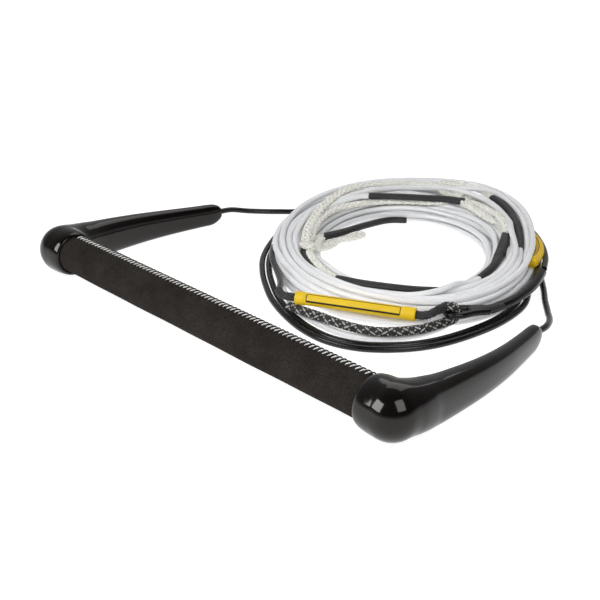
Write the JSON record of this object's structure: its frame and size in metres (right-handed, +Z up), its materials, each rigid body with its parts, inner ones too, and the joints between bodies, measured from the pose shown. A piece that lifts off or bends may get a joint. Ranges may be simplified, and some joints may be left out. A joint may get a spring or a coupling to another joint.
{
  "type": "tow rope handle",
  "caption": "Tow rope handle with a suede-covered bar, moulded angled end caps, a rope bridle through them, and its main rope stored in an oval coil.",
  "frame": {"origin": "on the surface the handle rests on, under the middle of the bar and end caps' bounding box", "axes": "+X along the bar, +Y from the bar towards the tips of the end caps' arms, +Z up from the surface"},
  "size_m": [0.3956, 0.385, 0.0383],
  "materials": {
    "cap": "moulded, glossy, faint orange peel",
    "suede": "short-nap synthetic suede",
    "foam": "closed-cell foam underlay",
    "float": "cut foam float",
    "thread": "two-tone stitching thread",
    "aluminium": "drawn tube",
    "plug": "moulded",
    "bridle_rope": "coated braid, satin",
    "two_colour_braid": "bare black and white braid",
    "shrink": "heat-shrunk sleeve, matte",
    "yellow": "flexible printed tube",
    "white_rope": "coated rope, satin",
    "cream_braid": "bare spliced braid"
  },
  "bodies": {
    "handle": {"end_cap_left": "cap", "end_cap_right": "cap", "bar_plug_left": "plug", "bar_plug_right": "plug", "bar_tube": "aluminium", "float_core": "float", "grip_underlay": "foam", "grip_cover": "suede", "grip_seam_thread": "thread", "bridle_core": "bridle_rope", "bridle_left": "bridle_rope", "bridle_right": "bridle_rope", "junction_sleeve": "shrink", "bridle_eye": "bridle_rope", "loop_front": "two_colour_braid", "loop_back": "bridle_rope", "leader": "bridle_rope", "main_rope_coil": "white_rope", "main_rope_loose_turn": "white_rope", "section_1_coil": "white_rope", "section_2_coil": "white_rope", "section_3_coil": "white_rope", "yellow_sleeve_rear": "yellow", "main_rope_eye": "cream_braid", "section_1_eye_main": "cream_braid", "section_1_eye": "cream_braid", "section_2_eye_first": "cream_braid", "section_2_eye": "cream_braid", "section_3_eye_first": "cream_braid", "main_rope_eye_inner_leg": "cream_braid", "main_rope_shrink": "shrink", "section_1_shrink_main": "shrink", "section_1_shrink": "shrink", "section_2_shrink_first": "shrink", "section_2_shrink": "shrink", "section_3_shrink_first": "shrink"},
    "front_sleeve": {"yellow_sleeve_front": "yellow"}
  },
  "joints": [
    {"name": "yellow_sleeve_slide", "type": "slide", "parent": "handle", "child": "front_sleeve", "axis": [0.8922, 0.4516, 0], "range_m": [-0.004, 0.004]}
  ]
}
